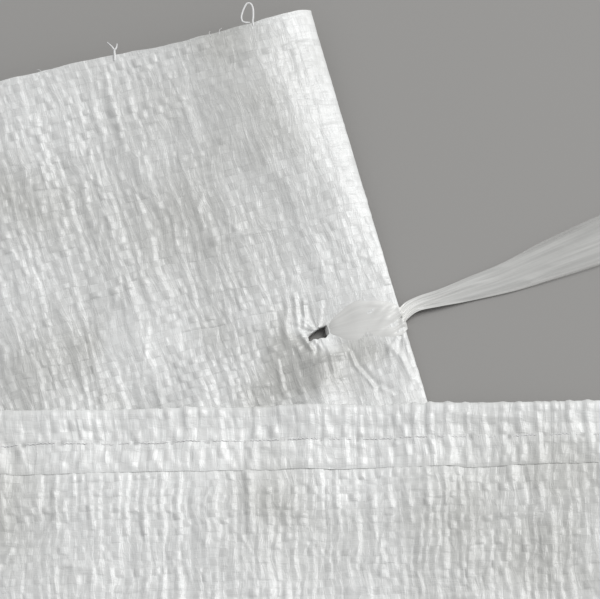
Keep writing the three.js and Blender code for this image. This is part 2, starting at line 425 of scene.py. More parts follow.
# Random numbers for each crossing, alike for several rows along a tape
def tapeTable(rowsAlike, acrossAlike=0):
    values = random.normal(0, 1, tableShape)
    for axis, alike in ((1, rowsAlike), (0, acrossAlike)):
        if alike:
            reach = np.arange(-round(3 * alike), round(3 * alike) + 1)
            weights = bell(reach, alike)
            total = sum(w * np.roll(values, k, axis) for k, w in zip(reach, weights))
            values = total / math.sqrt((weights ** 2).sum())
    return values


tables = {
    "warpEdge": tapeTable(1.5),
    "weftEdge": tapeTable(0, 1.5),
    "ridge": tapeTable(1.2),
    "rise": tapeTable(0.7),
    "tilt": tapeTable(0.8),
    "level": tapeTable(3),
    "strong": tapeTable(1.8, 0.6),
    "region": tapeTable(5, 3),
    "weftStrong": tapeTable(0, 3),
    "weftFold": tapeTable(0, 5),
    "pairs": tapeTable(2.5, 2.5),
}


def lookUp(name, i, j):
    return tables[name][np.mod(i, aroundTapes), np.clip(j, 0, allRows + 1)]


def whole(values):
    return np.floor(values).astype(int)


# A number that goes smoothly from row to row along one warp tape, or from tape to tape along one weft tape
def alongWarp(name, i, v):
    row = whole(v - 0.5)
    part = v - 0.5 - row
    return lookUp(name, i, row) * (1 - part) + lookUp(name, i, row + 1) * part


def alongWeft(name, u, j):
    tape = whole(u - 0.5)
    part = u - 0.5 - tape
    return lookUp(name, tape, j) * (1 - part) + lookUp(name, tape + 1, j) * part


def hemShare(v):
    return smoothStep(v, *weave["hemStart"])


# Where across a warp tape its folded ridge runs, 0 left to 1 right
def ridgePlace(i, v):
    return np.clip(0.46 - 0.02 * hemShare(v) + 0.12 * alongWarp("ridge", i, v), 0.28, 0.68)


# Height of the cloth's outside over its skin, for tapes with crimp, a folded ridge and a tilt
def weaveRelief(u, v):
    i, j = whole(u), whole(v)
    warpOver = (i + j) % 2 == 0
    fu, fv = u - i, v - j
    full = hemShare(v)  # the hem's tapes stand rounder
    mouthHalf = smoothStep(v, 70, 50)  # and the mouth half's lie flatter
    ridge = ridgePlace(i, v)
    right = fu > ridge
    fall = np.where(right, np.clip((fu - ridge) / weave["flank"], 0, 1), np.clip(1 - fu / ridge, 0, 1) ** 1.3)
    profile = 1 - fall * np.where(right, 0.8, 0.58)
    pair = 0.4 + 0.6 * full + 0.8 * alongWarp("pairs", 2 * whole((u + 0.5) / 2), v)
    strong = 0.82 + 0.26 * alongWarp("strong", i, v) + 0.32 * alongWarp("region", i, v)
    strong += weave["pairRidge"] * np.where(i % 2 == 0, pair, -pair)
    strong = np.clip(strong, 0.1, 1.6) * (1 - 0.14 * mouthHalf)
    toEdge = np.abs(2 * fv - 1) ** 2.5
    crown = 1 - weave["crown"] * toEdge
    raised = weave["warpRise"] * profile * strong
    warpHeight = crown * raised * np.clip(1 + 0.22 * lookUp("rise", i, j), 0.5, 1.4) * (1 + 0.32 * full)
    raised = raised * (1 + 0.1 * full)
    shoulder = weave["shoulderRise"] * np.clip(1 - np.minimum(fv, 1 - fv) / weave["shoulder"], 0, 1) ** 1.3
    across = np.sin(math.pi * np.clip(fu, 0.03, 0.97)) ** 0.6
    weftStrong = np.clip(0.8 + 0.5 * alongWeft("weftStrong", u, j), 0.2, 1.8)
    weftStrong = weftStrong * (1 + 0.4 * full + 0.2 * mouthHalf)
    weftHeight = weave["weftRise"] * across * weftStrong * (1 - 0.5 * toEdge)
    weftHeight = np.maximum(weftHeight, raised * shoulder) + raised * np.clip(strong - 0.8, 0, 1) * 0.25
    folded = smoothStep(alongWeft("weftFold", u, j), 0.9, 1.7) * bell(fv - 0.55, 0.14)
    folded = folded * weave["foldedWeft"] * np.where(warpOver, 0.4, 1)
    rounded = np.where(warpOver, crown, across)
    tilt = weave["tilt"] * lookUp("tilt", i, j) * (np.where(warpOver, fu, fv) - 0.5) * rounded
    level = weave["unevenness"] * lookUp("level", i, j) * rounded
    level = level + weave["pairRise"] * pair * (1 - np.abs(np.mod(u + 0.5, 2) - 1))
    return np.where(warpOver, warpHeight, weftHeight) + folded + tilt + level


# Tapes aren't quite straight: how far a place moves, in tapes
def wander(u, v):
    i, j = whole(u), whole(v)
    fu, fv = u - i, v - j

    def between(name):
        low = lookUp(name, i, j) * (1 - fu) * (1 - fv) + lookUp(name, i + 1, j) * fu * (1 - fv)
        return low + lookUp(name, i, j + 1) * (1 - fu) * fv + lookUp(name, i + 1, j + 1) * fu * fv

    return [weave["edgeWander"] * between(name) for name in ("warpEdge", "weftEdge")]


# The pressed tube's section: its flat part, a quarter round of a side fold, and the whole way round
flatWidth = bag["width"] - 2 * bag["skin"]
quarter = math.pi * bag["skin"] / 2
perimeter = 2 * flatWidth + 4 * quarter


# Round that section: across, height and the outward direction
def section(u, inset):
    place = np.mod(u / aroundTapes, 1) * perimeter
    second = place > perimeter / 2
    place = np.where(second, place - perimeter / 2, place) - quarter
    turn = np.where(place < 0, place, np.maximum(0, place - flatWidth)) / bag["skin"]
    turn = np.clip(turn, -1.6, 1.6)
    radius = bag["skin"] - inset
    across = np.clip(place, 0, flatWidth) - flatWidth / 2 + radius * np.sin(turn)
    sign = np.where(second, -1, 1)
    return sign * across, sign * radius * np.cos(turn), sign * np.sin(turn), sign * np.cos(turn)


# From a flat place in millimetres to (u, v), on the first panel or on the second
def flatToWeave(across, along, second=False):
    u = (across * mm + flatWidth / 2 + quarter) / perimeter * aroundTapes
    return (aroundTapes - u if second else u), along * mm / bodyPitch


def rowPlace(v):
    past = np.maximum(0, v - weave["bodyRows"])
    return (v - past) * bodyPitch + past * hemPitch


# How far the tapes are pulled aside: across, along
def pulled(across, along):
    fromFold = bag["width"] / 2 - np.abs(across)
    free = smoothStep(fromFold, 0, 12 * mm) * (1 - nearPlace("tieHole", across, along, 16 * mm))
    ends = smoothStep(along, 0, 12 * mm) * smoothStep(along, 640 * mm, 620 * mm)
    aside, onward = (
        size * free * waveField(across, along, seed, 22, 0.011, 0.04)
        for size, seed in zip(placeOf("pulled"), (61, 62)))
    return aside, onward * ends


# A field of soft waves in all directions, between two wave lengths
def waveField(x, y, seed, count, shortest, longest, stretch=1):
    values = np.random.default_rng(seed)
    total = np.zeros_like(x)
    for _ in range(count):
        length = shortest * (longest / shortest) ** values.random()
        angle = values.uniform(0, math.pi)
        kx, ky = 2 * math.pi / length * math.cos(angle), 2 * math.pi / length * math.sin(angle) / stretch
        total += np.cos(kx * x + ky * y + values.uniform(0, 2 * math.pi))
    return total / math.sqrt(count / 2)


# Long narrow ridges along the tapes, as their folds and the packing leave them
def streaks(across, along, box, seed, count, width, length, rise, slant):
    values = np.random.default_rng(seed)
    total = np.zeros(len(across))
    for _ in range(count):
        x, y = values.uniform(box[0], box[1]), values.uniform(box[2], box[3])
        w = width[0] * mm * (width[1] / width[0]) ** values.random()
        size = length[0] * mm * (length[1] / length[0]) ** values.random()
        lean = values.normal(0, slant)
        high = rise * mm * values.uniform(0.3, 1) * values.choice([1, 1, -0.5])
        near = np.flatnonzero((np.abs(along - y) < 2.2 * size) & (np.abs(across - x) < 4 * w + 0.3 * size))
        dx = across[near] - x - lean * (along[near] - y)
        total[near] += high * bell(dx, w) * bell(along[near] - y, size)
    return total


# Places on the flat bag, in millimetres across and along
details = {
    "tieHole": (152.8, 100.3),
    "tieHitch": (177.3, 103.2),
    "holeOutline": [
        (149.4, 102.4), (149.6, 100.6), (153.4, 98.8), (155.8, 98.5), (155.7, 101.2), (154.4, 102.5)],
    "ridges": [  # points, width, rise, and how deep the valley on its right side is
        ([(149.2, 88), (148.2, 94.2), (147.4, 98), (148.2, 100.8), (149.6, 105.4)], 0.7, 0.55, 0.3),
        ([(151.4, 89.6), (150.4, 94.4), (149.2, 97.8)], 0.55, 0.5, 0.3),
        ([(151.2, 102.9), (152.4, 106.4)], 0.5, 0.45, 0.2),
        ([(154.4, 102.9), (154.3, 107.2), (154.1, 113.2)], 0.8, 0.35, 0.4),
        ([(160, 108.7), (160.4, 113.2), (161.8, 115.8), (163.8, 121)], 0.5, 0.4, 1.2),
        ([(164.4, 120.4), (168.5, 124.6)], 0.5, 0.15, 1.2),
        ([(149.2, 110.4), (153.6, 108.6), (158.4, 108.4)], 0.4, 0.35, 0),
        ([(155.4, 116.3), (160.9, 115.5)], 0.4, 0.35, 0),
        ([(144.6, 92), (144.4, 99), (146.4, 106)], 1.1, 0.4, 0.2),
        ([(170.5, 108), (173.8, 113.5), (175, 121)], 0.9, 0.4, 0.3),
        ([(152.5, 106), (150.5, 113), (149, 121), (149.5, 129)], 6.5, 1.5, 0.1),
    ],
    # places with a flatter weave: their middle, how far they reach across and along, and how much flatter
    "flatter": [((137, 42), 20, 30, 0.45), ((150, 20), 16, 14, 0.3), ((96, 96), 14, 16, 0.2)],
    "filmMiddle": (167, 99.8),
    "filmReach": (12.5, 9),
    "firstStitch": 167.4,
    "stitchPitch": 10.64,
    "stitchCount": 33,
    "stitchLength": 671,  # along the cloth, from the mouth
    "tieMiddle": (163, 108),
    "hemGap": (83, 13, 1.1),  # where the hem's fold stands off, how wide and how high
    "tieRoom": (0.35, 8),  # how far the tie under the cloth lifts it, and how far from the tie
    "pulled": (0.30, 0.24),  # how far the tapes are pulled aside and along
    # how much flatter the waves and the ridges are at the stiff cut edge, and how far in from it
    "stiffEdge": [(0.85, 10), (0.7, 4)],
    "underFilm": 0.85,  # how much flatter all of this is under the film
    # height, seed, number, shortest, longest, and how much longer they are along the warp
    "waves": [(0.35, 3, 22, 20, 90, 2.5), (0.10, 5, 26, 6, 16, 2)],
    # seed, number, least and most width and length, rise and slant; the last ones run along the weft
    "streaks": [
        (8, 380, (0.6, 1.4), (5, 22), 0.25, 0.06), (9, 160, (3, 6), (20, 80), 0.4, 0.06),
        (10, 900, (0.5, 0.9), (2, 9), 0.32, 0.35), (12, 650, (0.7, 1.4), (3, 14), 0.42, 0.1),
    ],
    # the folds round a place: how many, how high, where they start and how far they reach
    "gathers": {"tieHole": (9, 0.30, 3.5, 5), "tieHitch": (15, 0.45, 1, 6)},
}
stitchLine = weave["bodyRows"] + (details["stitchLength"] * mm - weave["bodyLength"]) / hemPitch  # its row


def placeOf(name):
    return np.array(details[name]) * mm


# 1 at one of the places above, 0 away from it
def nearPlace(name, across, along, reach):
    x, y = placeOf(name)
    return bell(np.hypot(across - x, along - y), reach)


# How far places are from the line between two points, and on which side of it
def offLine(place, start, stop):
    way = stop - start
    part = np.clip(((place - start) @ way) / (way @ way), 0, 1)
    gap = place - start - part[:, None] * way
    return np.hypot(gap[:, 0], gap[:, 1]), np.sign(way[1] * gap[:, 0] - way[0] * gap[:, 1])


def ridgeLift(across, along):
    total = np.zeros_like(across)
    for points, width, rise, valley in details["ridges"]:
        width, rise = width * mm, rise * mm
        points = np.array(points) * mm
        middle = points.mean(axis=0)
        reach = np.abs(points - middle).max() + 6 * width
        near = np.flatnonzero((np.abs(across - middle[0]) < reach) & (np.abs(along - middle[1]) < reach))
        place = np.stack([across[near], along[near]], axis=-1)
        best, side = np.full(len(near), 1.0), np.zeros(len(near))
        for start, stop in zip(points[:-1], points[1:]):
            away, turn = offLine(place, start, stop)
            side = np.where(away < best, turn, side)
            best = np.minimum(away, best)
        total[near] += rise * bell(best, width)
        total[near] -= rise * valley * bell(best * side - 2.2 * width, 1.5 * width)
    return total


# Folds that run out from the tie hole and from the place where the tie grips the side fold
def gatherLift(across, along):
    total = np.zeros_like(across)
    for name, (count, *lengths) in details["gathers"].items():
        x, y = placeOf(name)
        rise, start, reach = np.array(lengths) * mm
        dx, dy = across - x, along - y
        away = np.hypot(dx, dy)
        turn = np.arctan2(dy, dx)
        fan = np.cos(count * turn + 1.7 * np.sin(2 * turn + 0.6)) + 0.5 * np.cos((2 * count + 3) * turn + 1)
        total += rise * fan * np.exp(-np.maximum(0, away - start) / reach) * smoothStep(away, 0, 2 * mm)
    return total


# 1 where the film lies over the cloth
def underFilm(across, along):
    (x, y), (wide, high) = details["filmMiddle"], details["filmReach"]
    return smoothStep(np.hypot((across / mm - x) / wide, (along / mm - y) / high), 1.3, 0.85)


# Room for the tie between the cloth and the floor
def tieRoom(across, along):
    away = offLine(np.stack([across, along], axis=-1), placeOf("tieHole"), placeOf("tieHitch"))[0]
    high, reach = placeOf("tieRoom")
    return high * bell(away, reach)


# How far the cloth at a flat place is lifted from where it would lie pressed flat
def lift(across, along):
    waves, ridges, tied, room = (np.zeros_like(across) for _ in range(4))
    for high, seed, count, shortest, longest, stretch in details["waves"]:
        waves += high * mm * waveField(across, along, seed, count, shortest * mm, longest * mm, stretch)
    box = (-bag["width"] / 2, bag["width"] / 2, 0, bag["length"])
    for spec in details["streaks"][:-1]:
        ridges += streaks(across, along, box, *spec)
    ridges += streaks(along, across, box[2:] + box[:2], *details["streaks"][-1])
    place, wide, high = placeOf("hemGap")
    gap = high * bell(across - place, wide) * smoothStep(along, 0.645, 0.657)
    near = along < 0.16
    local = (across[near], along[near])
    tied[near] = ridgeLift(*local) + gatherLift(*local)
    room[near] = tieRoom(*local)
    straight, edge = (1 - share * np.exp(-along / (reach * mm)) for share, reach in details["stiffEdge"])
    pressed = 1 - details["underFilm"] * underFilm(across, along)
    return (waves * straight + ridges * edge + tied) * pressed + gap + room


# The hem's turned-up end is drawn down by its stitches, in millimetres
hem = {
    "drawn": 0.85,
    "groove": (0.04, 2),  # how deep it is along the stitches, and how wide
    "needleDent": (0.35, 0.8),
    "pucker": 0.13,
    "flatBeside": 1.6,  # how far beside the stitches it is without puckers
}


# How far it lies towards the cloth below it
def hemPress(across, length):
    turned = smoothStep(length, 0.6622, 0.668)
    first, pitch, line = (details[name] * mm for name in ("firstStitch", "stitchPitch", "stitchLength"))
    nearest = (first - across) / pitch
    step = (nearest - np.round(nearest)) * pitch
    fromLine = length - line
    dent = 0
    for name, away in (("groove", np.abs(fromLine)), ("needleDent", np.hypot(fromLine, step))):
        deep, wide = hem[name]
        dent = dent + deep * bell(away, wide * mm)
    pucker = hem["pucker"] * waveField(across, 0.4 * length, 71, 24, 0.0032, 0.008)
    pucker = pucker * (1 - bell(fromLine, hem["flatBeside"] * mm)) * smoothStep(length, 0.6798, 0.6768)
    return turned * (hem["drawn"] + dent - pucker) * mm


# Grid lines within each tape from the first to the last, or one line for two tapes
def lines(start, stop, perTape):
    if perTape == 0:
        return list(range(start + 2, stop - 1, 2))
    inside = {
        8: (0.04, 0.16, 0.29, 0.42, 0.55, 0.67, 0.80, 0.94),
        6: (0.04, 0.22, 0.40, 0.58, 0.77, 0.96),
        5: (0.04, 0.30, 0.55, 0.73, 0.93),
        4: (0.04, 0.36, 0.66, 0.96),
        3: (0.05, 0.55, 0.92),
        2: (0.2, 0.8),
    }[perTape]
    return [i + part for i in range(start, stop) for part in inside]


foldLines = (-0.19, -0.1, 0, 0.1, 0.19)
foldReach = 0.3  # no other line comes closer to a side fold


def readAll(items, name, width, kind):
    values = np.zeros(len(items) * width, kind)
    items.foreach_get(name, values)
    return values


def getPoints(mesh):
    return readAll(mesh.vertices, "co", 3, np.float32).reshape(-1, 3).astype(float)


def setPoints(mesh, points):
    mesh.vertices.foreach_set("co", points.astype(np.float32).ravel())


def setMap(mesh, name, values):
    mesh.uv_layers[name].uv.foreach_set("vector", values.astype(np.float32).ravel())


def meshFrom(name, bm):
    mesh = bpy.data.meshes.new(name)
    bm.to_mesh(mesh)
    bm.free()
    return mesh


# One length of the tube, as a mesh whose places are (u, v, 0). A zone gives its first and last tape or row,
# and the number of lines in each.
def tubeGrid(name, columnZones, rowZones, holed):
    folds = (0, weave["panelTapes"], aroundTapes)
    columns = [c for zone in columnZones for c in lines(*zone)]
    columns = [c for c in columns if all(abs(c - fold) > foldReach for fold in folds)]
    columns += [fold + part for fold in folds for part in foldLines if 0 <= fold + part <= aroundTapes]
    columns = np.array(sorted(columns), float)
    rows = []
    for start, stop, perTape in rowZones:
        rows += [start, stop] + (lines(start, stop, perTape) if perTape else [])
    rows = np.array(sorted(set(rows)), float)
    lastColumn, lastRow = len(columns) - 1, len(rows) - 1
    bm = bmesh.new()
    bm.loops.layers.uv.new("weave")
    bm.loops.layers.uv.new("OFBake")
    bmesh.ops.create_grid(bm, x_segments=lastColumn, y_segments=lastRow, size=0.5, calc_uvs=True)
    bmesh.ops.reverse_faces(bm, faces=bm.faces)
    mesh = meshFrom(name, bm)
    points = getPoints(mesh) + 0.5
    ix = np.rint(points[:, 0] * lastColumn).astype(int)
    iy = np.rint(points[:, 1] * lastRow).astype(int)
    corner = readAll(mesh.loops, "vertex_index", 1, np.int32)
    flat = np.stack([columns[ix], rows[iy], np.zeros(len(ix))], axis=1)
    setMap(mesh, "weave", flat[corner, :2])
    setMap(mesh, "OFBake", np.stack([ix / lastColumn, iy / lastRow], axis=1)[corner])
    setPoints(mesh, flat)
    ends = readAll(mesh.edges, "vertices", 2, np.int32)
    first, second = flat[ends[::2], 1], flat[ends[1::2], 1]
    edge = (first == second) & ((first == 0) | (first == allRows))
    mesh.attributes.new("sharp_edge", "BOOLEAN", "EDGE").data.foreach_set("value", edge)
    if holed:
        cutTieHole(mesh)
    return mesh


# Cuts the tie hole's outline out of both panels while the mesh is still flat
def cutTieHole(mesh):
    bm = bmesh.new()
    bm.from_mesh(mesh)
    for second in (False, True):
        outline = [flatToWeave(x, y, second) for x, y in details["holeOutline"]]
        sides = list(zip(outline, outline[1:] + outline[:1]))
        middle = Vector(np.mean(outline, axis=0))
        for (x, y), (farX, farY) in sides:
            near = [face for face in bm.faces if (face.calc_center_median().xy - middle).length < 5]
            edges = {edge for face in near for edge in face.edges}
            corners = {vert for face in near for vert in face.verts}
            bmesh.ops.bisect_plane(bm, geom=[*near, *edges, *corners], dist=1e-5, plane_co=(x, y, 0),
                                   plane_no=(farY - y, x - farX, 0))
        inside = []
        for face in bm.faces:
            centre = face.calc_center_median()
            if (centre.xy - middle).length < 4:
                turns = [(farX - x) * (centre.y - y) - (farY - y) * (centre.x - x)
                         for (x, y), (farX, farY) in sides]
                if min(turns) > 0 or max(turns) < 0:
                    inside.append(face)
        bmesh.ops.delete(bm, geom=inside, context="FACES")
    bm.to_mesh(mesh)
    bm.free()


# Moves the lines near the middle of each tape onto its ridge
def followRidge(u, v):
    i = whole(u)
    part = u - i
    shift = ridgePlace(i, v) - 0.55
    weight = np.interp(part, [0.05, 0.30, 0.55, 0.73, 0.95], [0, 0.55, 1, 0.8, 0.1])
    return i + part + shift * weight


# The weave is flatter in the melted band at both cut ends and along the stitches
def calm(u, v, across):
    flatter = weave["flatter"]
    ends = 1 - flatter["ends"] * (1 - smoothStep(v, 0, 1.6) * smoothStep(v, allRows, allRows - 0.8))
    length = rowPlace(v)
    film = 1 - flatter["film"] * underFilm(across, length)
    # it is drawn flat round the tie and beside the right side fold, and under the turned-up end
    x, y = placeOf("tieMiddle")
    drawn = 1 - flatter["tie"] * smoothStep(np.hypot(across - x, length - y), 24 * mm, 12 * mm)
    beside = 1 - flatter["fold"] * smoothStep(across, 0.122, 0.164) * (length < 0.2)
    covered = 1 - flatter["covered"] * (u > weave["panelTapes"]) * smoothStep(v, 260.5, 260.9)
    stitched = 1 - flatter["stitches"] * bell((v - stitchLine) * hemPitch, 0.9 * mm)
    pressed = 1
    for (x, y), wide, high, amount in details["flatter"]:
        away = ((across / mm - x) / wide) ** 2 + ((length / mm - y) / high) ** 2
        pressed = pressed * (1 - amount * np.exp(-away))
    return ends * film * drawn * beside * covered * stitched * pressed


# The upper panel stands a little off the lower one, away from the side folds and the hem. Towards the mouth
# it rises in a soft roll beside each side fold, and the tie draws it down at its hole.
def puff(across, along, upward):
    fromFold = bag["width"] / 2 - np.abs(across)
    mouthHalf = along < bag["mouthToFold"]
    upperHalf = smoothStep(along, 0.44, 0.5) * smoothStep(along, 0.655, 0.61)
    away = np.where(mouthHalf, smoothStep(along, 0.34, 0.27), upperHalf)
    rolled = mouthHalf * (0.3 + 2.7 * smoothStep(along, 0.1, 0.02)) * np.where(across > 0, 1, 0.7) * mm
    middle = 16 * mm
    roll = rolled * fromFold / middle * np.exp(1 - fromFold / middle)
    drawn = 1 - 0.8 * nearPlace("tieHole", across, along, 9 * mm)
    beside = (0.55 + 0.45 * np.where(mouthHalf, smoothStep(along, 0.1, 0.05), 1)) * mm
    return upward * away * drawn * (beside * (1 - np.exp(-fromFold / (3.6 * mm))) + roll)


# How far the cut edge lies in from a straight line
def edgeSag(across):
    places = [98, 108, 118, 126, 133, 141, 148, 154, 160, 167, 174, 178]
    return mm * np.interp(across / mm, places, [0, 0.3, 0.8, 1.7, 2.2, 2.0, 2.2, 2.2, 2.1, 1.75, 1.15, 0.9])


# From a place on the cloth to where it lies. side is above 0 on the first panel and below 0 on the second.
def onCloth(across, length, height, side, raised=1):
    along, out = aroundHem(length, height)
    place = placeFlat(across, along, out + hemPress(across, length))
    upward = np.where((along < bag["mouthToFold"]) == (side > 0), 1, 0) * (length < bag["length"])
    place[:, 2] += lift(across, along) * raised + puff(across, along, upward)
    place[:, 2] = np.maximum(place[:, 2], 0.08 * mm)
    return place


# The cut edges, in millimetres
cutEdge = {
    "bead": (0.14, 0.45),  # how high the melted bead at the mouth stands, and how wide it is
    "hemEnd": (-0.17, 0.3),  # the hem's end is thinner
    "uneven": 0.13,
    "liningInset": 0.22,
}


# Lays a (u, v) mesh where the bag lies. woven(u) tells where the weave stands out as real relief.
def layCloth(mesh, woven):
    flat = getPoints(mesh)
    u, v = flat[:, 0], flat[:, 1]
    lining = np.maximum(0, -v) + np.maximum(0, v - allRows)
    v = np.clip(np.where(v < 0, -v, np.where(v > allRows, 2 * allRows - v, v)), 0, allRows)
    shown = woven(u) * (lining == 0)
    u = np.where(shown > 0, followRidge(u, v), u)
    du, dv = wander(u, v)
    across, height, outX, outZ = section(u + du * shown, np.where(lining > 0, cutEdge["liningInset"] * mm, 0))
    relief = weaveRelief(u, v) * shown * calm(u, v, across)
    for name, away in (("bead", v * bodyPitch), ("hemEnd", (allRows - v) * hemPitch)):
        rise, wide = cutEdge[name]
        relief = relief + rise * mm * (lining == 0) * bell(away, wide * mm)
    inside = smoothStep(v, 0, 0.5) * smoothStep(v, allRows, allRows - 0.5)
    length = rowPlace(v + dv * shown * inside)
    # both cut ends run a little unevenly
    ends = cutEdge["uneven"] * mm * waveField(across * 1.7, 0 * across, 21, 16, 0.006, 0.05)
    length += ends * (np.exp(-length / (2.5 * mm)) - np.exp((length - clothLength) / (2.5 * mm)))
    length += edgeSag(across) * np.exp(-length / (15 * mm))
    aside, onward = pulled(across, length)
    length = length + onward
    across = across + aside + outX * relief
    setPoints(mesh, onCloth(across, length, height + outZ * relief, outZ, np.where(woven(u), 1, 0.6)))
    mesh.update()


def addPiece(mesh, material, replaced):
    mesh.shade_smooth()
    mesh.materials.append(material)
    piece = addObject(mesh.name, mesh)
    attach(piece, "root")
    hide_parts(replaced)
    return piece


# Joins the grid where the tube closes, and the rims of both panels' tie holes
def closeCloth(mesh, holed):
    bm = bmesh.new()
    bm.from_mesh(mesh)
    bmesh.ops.remove_doubles(bm, verts=[vert for vert in bm.verts if vert.is_boundary], dist=1e-7)
    if holed:
        across, along = (np.array([value]) for value in placeOf("tieHole"))
        hole = Vector(placeFlat(across, along, np.array([0.0]))[0])
        rim = [e for e in bm.edges if e.is_boundary and (e.verts[0].co - hole).length < 0.012]
        bmesh.ops.bridge_loops(bm, edges=rim)
    bm.to_mesh(mesh)
    bm.free()


# How far along a line of points each of them is
def runAlong(points):
    return np.concatenate([[0], np.cumsum(np.linalg.norm(np.diff(points, axis=0), axis=1))])


# Points evenly spaced along a smooth curve through the given ones
def curve(points, count):
    points = np.array(points, float)
    ends = np.concatenate([[2 * points[0] - points[1]], points, [2 * points[-1] - points[-2]]])
    fine = []
    for k in range(len(points) - 1):
        before, start, stop, after = ends[k:k + 4]
        t = np.linspace(0, 1, 24, endpoint=False)[:, None]
        square = (2 * before - 5 * start + 4 * stop - after) * t ** 2
        cube = (3 * start - before - 3 * stop + after) * t ** 3
        fine.append(0.5 * (2 * start + (stop - before) * t + square + cube))
    fine = np.concatenate(fine + [points[-1:]])
    run = runAlong(fine)
    places = np.linspace(0, run[-1], count)
    return np.stack([np.interp(places, run, fine[:, k]) for k in range(fine.shape[1])], axis=-1)


# A grid of count by around cells laid on places(s, t), with s and t from 0 to 1
def gridOn(bm, count, around, places):
    bm.loops.layers.uv.verify()
    made = bmesh.ops.create_grid(bm, x_segments=count, y_segments=around, size=0.5, calc_uvs=True)["verts"]
    shares = np.array([vert.co[:2] for vert in made]) + 0.5
    for vert, place in zip(made, places(shares[:, 0], shares[:, 1])):
        vert.co = place
    return made


# A five-sided strand along a line of points, with thinner ends, from one radius to the other
def strand(bm, points, radius):
    points = np.array(points, float)
    way = np.gradient(points, axis=0)
    way /= np.linalg.norm(way, axis=1)[:, None]
    first = np.cross(way, [0.1, 0.2, 1])
    first /= np.linalg.norm(first, axis=1)[:, None]
    second = np.cross(way, first)

    def places(s, t):
        k = np.rint(s * (len(points) - 1)).astype(int)
        turn = -2 * math.pi * t
        thin = (np.clip(12 * np.minimum(s, 1 - s) + 0.3, 0, 1) * np.interp(s, [0, 1], radius))[:, None]
        return points[k] + thin * (np.cos(turn)[:, None] * first[k] + np.sin(turn)[:, None] * second[k])

    made = gridOn(bm, len(points) - 1, 5, places)
    bmesh.ops.remove_doubles(bm, verts=made, dist=1e-7)


# The tie: thin clear film, through the hole, over and round the side fold, and out across the floor
film = {
    "thickness": 0.00008,
    "mapLength": 0.3,
    "tone": (0.76, 0.76, 0.735),
    "roughness": 0.32,
    "clear": 0.35,  # how much of the floor shows through the free end
    "gripRun": 0.08,  # where along the map the strip is gathered at the side fold
    "foldSlant": math.radians(38),  # of the loop's small folds, from the x axis
    # how high each kind of fold is, in millimetres
    "loopFolds": {"crushed": 0.42, "soft": 0.06, "crease": 0.12, "hole": 0.10, "edge": -0.36},
    "tailFolds": {"gripped": 0.40, "pleats": 0.10, "broad": 0.35, "curl": 0.5},
    # both edges of the tail, then the height of its middle, in millimetres
    "tail": [
        (144.8, 121.6, 146.4, 117, 3), (147, 124.4, 147.6, 119, 2.6), (150.6, 126.7, 150.6, 121.7, 1.9),
        (156.2, 129.1, 156.8, 123.3, 1.1), (165.2, 133.2, 166.8, 125.8, 0.6),
        (174.7, 137.4, 177.6, 128.5, 0.4), (185.2, 143.3, 189, 132.1, 0.4), (194.6, 148.3, 200, 135.8, 0.4),
        (203, 152.5, 208.5, 139.2, 0.4), (211.3, 155.8, 213.6, 142.2, 0.4), (219.9, 157.4, 219, 143.4, 0.4),
        (233.2, 155, 227.4, 142.4, 0.4), (244.5, 146.6, 234.5, 137.3, 0.4), (251.4, 135.2, 238.2, 131, 0.4),
        (253.3, 123.8, 239.6, 123, 0.4), (253.3, 110.6, 239.7, 111, 0.4), (252.7, 96.6, 239.1, 97.3, 0.4),
        (251.8, 82.6, 238, 83.3, 0.4), (251.1, 68.7, 237.4, 69.2, 0.4), (250.4, 54.6, 237.1, 55.6, 0.4)],
    # the same route as the part's, which the tail lies on
    "route": [
        (149.3, 118.8, 2), (153.3, 121.8, 1.6), (158.3, 124.9, 1), (164.8, 128.5, 0.5),
        (175.9, 133.6, 0.45), (189.3, 139.8, 0.45), (203.3, 146.1, 0.45), (210.8, 149.3, 0.45),
        (219.5, 150.9, 0.45), (230.4, 148.6, 0.45), (239.5, 142, 0.45), (244.8, 133.1, 0.45),
        (246.5, 123.4, 0.45), (246.5, 110.9, 0.45), (245.9, 96.9, 0.45), (244.9, 82.9, 0.45),
        (244.2, 68.9, 0.45), (243.8, 54.9, 0.45)],
    # the loop's two edges in flat places, the height over the cloth or (past the side fold) over the floor
    "loop": [
        (155.2, 98.9, 155, 100.9, -1.4), (155.9, 98.1, 155.7, 101.8, -0.6),
        (158, 96.5, 157.4, 103.2, -0.16), (161.6, 94.6, 160.6, 105, -0.08),
        (165.6, 93.2, 164.6, 106.2, -0.08), (170, 93.4, 168.8, 106.8, -0.05), (173.6, 95.4, 173, 107.2, 0),
        (176.2, 96.8, 175.9, 107, 0.05), (177.5, 98.4, 177.3, 106, 0.2)],
    "underside": [
        (178.3, 99, 178.1, 104.9, 1.2), (178.3, 99.6, 178.1, 104.2, 0.5), (177.2, 100, 177, 103.5, 0.15),
        (170, 99.6, 170, 102.8, 0.2), (160, 98.9, 160, 101.2, 0.3), (157, 98.7, 156.9, 100.9, 0.6)],
}


